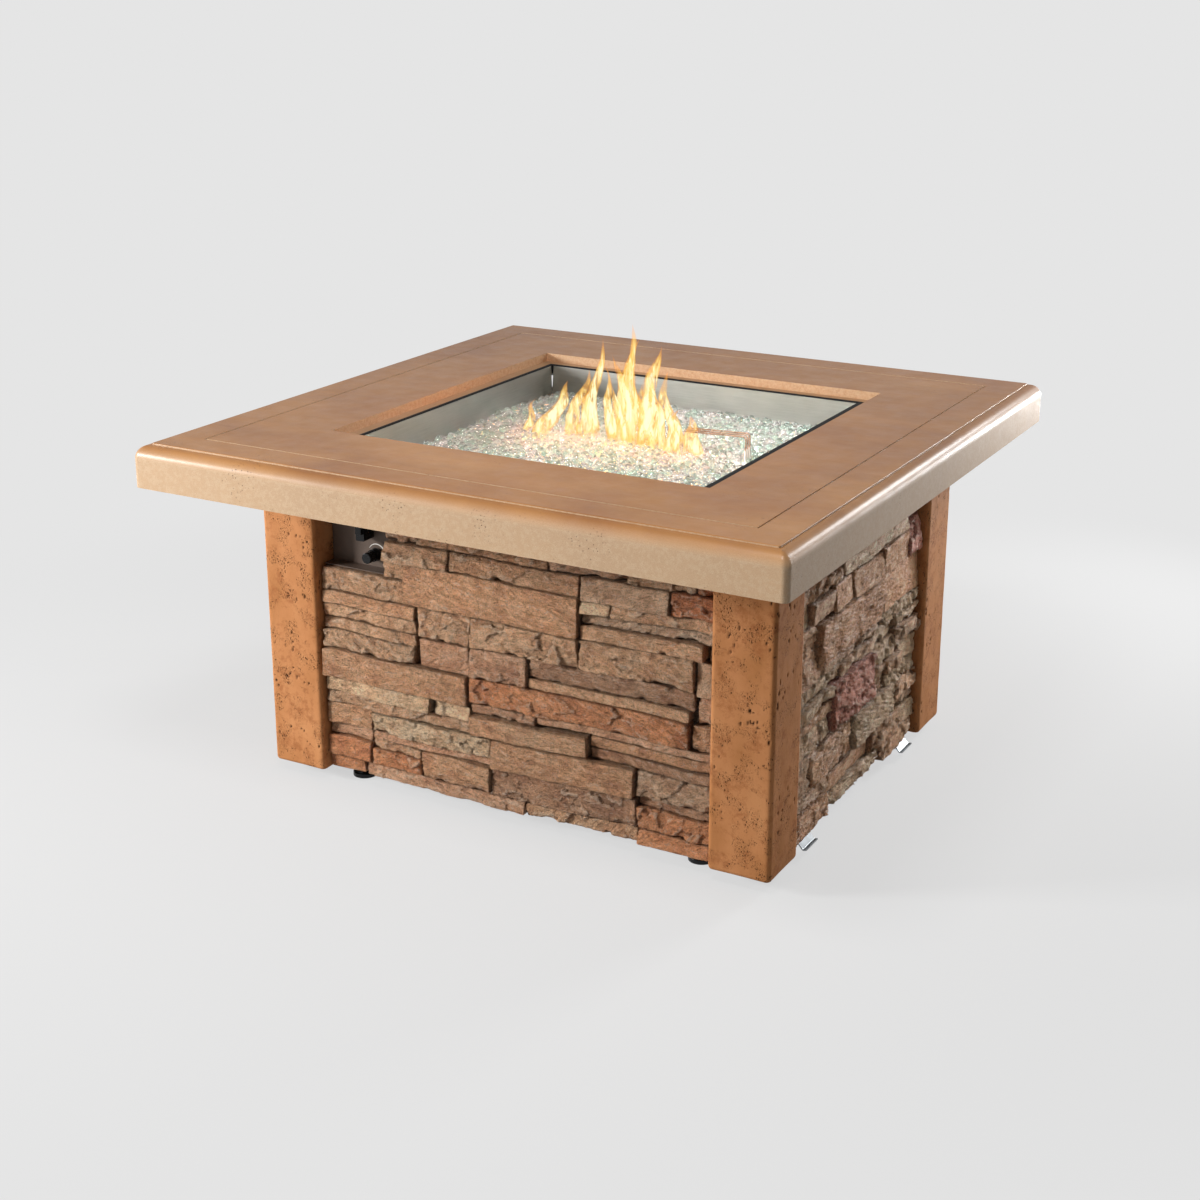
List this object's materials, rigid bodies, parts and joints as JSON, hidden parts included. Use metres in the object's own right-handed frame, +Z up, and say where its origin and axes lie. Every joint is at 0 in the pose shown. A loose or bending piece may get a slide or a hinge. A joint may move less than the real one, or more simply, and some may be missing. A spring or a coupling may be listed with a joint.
{
  "type": "gas fire pit table",
  "caption": "Square gas fire pit table: cast top with a drop-in burner pan of fire glass, on a stacked-stone base with corner posts, a hinged access door and a recessed control plate.",
  "frame": {"origin": "on the floor under the middle of the table", "axes": "+Z up, the controls face -Y, the access door is on the +X side"},
  "size_m": [1.118, 1.118, 0.61],
  "materials": {
    "cast_concrete": "smooth cast, honed",
    "post_stone": "cast travertine look, pitted",
    "panel_stone": "cast split-face stacked stone",
    "stainless": "brushed",
    "heat_tinted_steel": "heat tinted",
    "zinc_steel": "zinc plated",
    "black_steel": "satin black powder coat",
    "bronze_plate": "matte bronze-grey",
    "brass": "machined",
    "galvanised": "galvanised",
    "fibre_gasket": "woven black seal",
    "black_rubber": "matte",
    "white_ceramic": "unglazed",
    "fire_glass": "tempered, tumbled",
    "black_plastic": "fine texture",
    "lead_copper": "drawn copper",
    "lead_silicone": "silicone"
  },
  "bodies": {
    "root": {"table_top": "cast_concrete", "post_front_left": "post_stone", "post_front_right": "post_stone", "post_back_left": "post_stone", "post_back_right": "post_stone", "stone_panel_front": "panel_stone", "stone_panel_back": "panel_stone", "stone_panel_left": "panel_stone", "burner_pan": "stainless", "burner_ring": "stainless", "burner_feed": "stainless", "pilot_bracket": "stainless", "spark_electrode": "heat_tinted_steel", "flame_rod": "heat_tinted_steel", "thermocouple_rod": "heat_tinted_steel", "pan_screws": "zinc_steel", "panel_screws": "zinc_steel", "plate_screws": "zinc_steel", "hanger_rod": "zinc_steel", "burner_locknut": "zinc_steel", "valve_bonnet_nut": "zinc_steel", "igniter_nut": "zinc_steel", "foot_nuts": "zinc_steel", "frame_legs": "black_steel", "top_rails": "black_steel", "bottom_rails": "black_steel", "post_cleats": "black_steel", "rod_brackets": "black_steel", "tank_ring": "black_steel", "pan_support_ring": "galvanised", "tank_tray": "galvanised", "lead_clips": "galvanised", "control_plate": "bronze_plate", "valve_body": "brass", "valve_inlet_fitting": "brass", "valve_outlet_elbow": "brass", "air_mixer": "brass", "heat_gasket": "fibre_gasket", "leg_pads": "black_rubber", "lead_grommet": "black_rubber", "gas_hose": "black_rubber", "pilot_insulators": "white_ceramic", "fire_glass_bed": "fire_glass", "igniter_housing": "black_plastic", "thermocouple_lead": "lead_copper", "spark_lead": "lead_silicone"},
    "access_door": {"stone_panel_right": "panel_stone", "door_frame": "black_steel", "door_hooks": "black_steel", "door_screws": "zinc_steel", "pull_tabs": "zinc_steel"},
    "knob_carrier": {"thrust_washer": "zinc_steel", "knob_return_spring": "zinc_steel"},
    "gas_knob": {"knob": "black_plastic", "valve_stem": "zinc_steel"},
    "igniter_push": {"igniter_button": "black_plastic"},
    "foot_front_left": {"foot_front_left": "black_plastic"},
    "foot_front_right": {"foot_front_right": "black_plastic"},
    "foot_back_left": {"foot_back_left": "black_plastic"},
    "foot_back_right": {"foot_back_right": "black_plastic"}
  },
  "joints": [
    {"name": "door_swing", "type": "hinge", "parent": "root", "child": "access_door", "pos_m": [0.42115, 0, 0.556], "axis": [0, -1, 0], "range_deg": [0, 45]},
    {"name": "knob_push", "type": "slide", "parent": "root", "child": "knob_carrier", "axis": [0, 1, 0], "range_m": [0, 0.003], "stiffness_N_per_m": 600, "springref_m": -0.003, "deforming": ["knob_return_spring"]},
    {"name": "knob_turn", "type": "hinge", "parent": "knob_carrier", "child": "gas_knob", "pos_m": [-0.269, -0.3252, 0.408], "axis": [0, -1, 0], "range_deg": [0, 180]},
    {"name": "igniter_press", "type": "slide", "parent": "root", "child": "igniter_push", "axis": [0, 1, 0], "range_m": [0, 0.004], "stiffness_N_per_m": 400, "springref_m": -0.005},
    {"name": "level_front_left", "type": "slide", "parent": "root", "child": "foot_front_left", "axis": [0, 0, -1], "range_m": [0, 0.015]},
    {"name": "level_front_right", "type": "slide", "parent": "root", "child": "foot_front_right", "axis": [0, 0, -1], "range_m": [0, 0.015]},
    {"name": "level_back_left", "type": "slide", "parent": "root", "child": "foot_back_left", "axis": [0, 0, -1], "range_m": [0, 0.015]},
    {"name": "level_back_right", "type": "slide", "parent": "root", "child": "foot_back_right", "axis": [0, 0, -1], "range_m": [0, 0.015]}
  ]
}
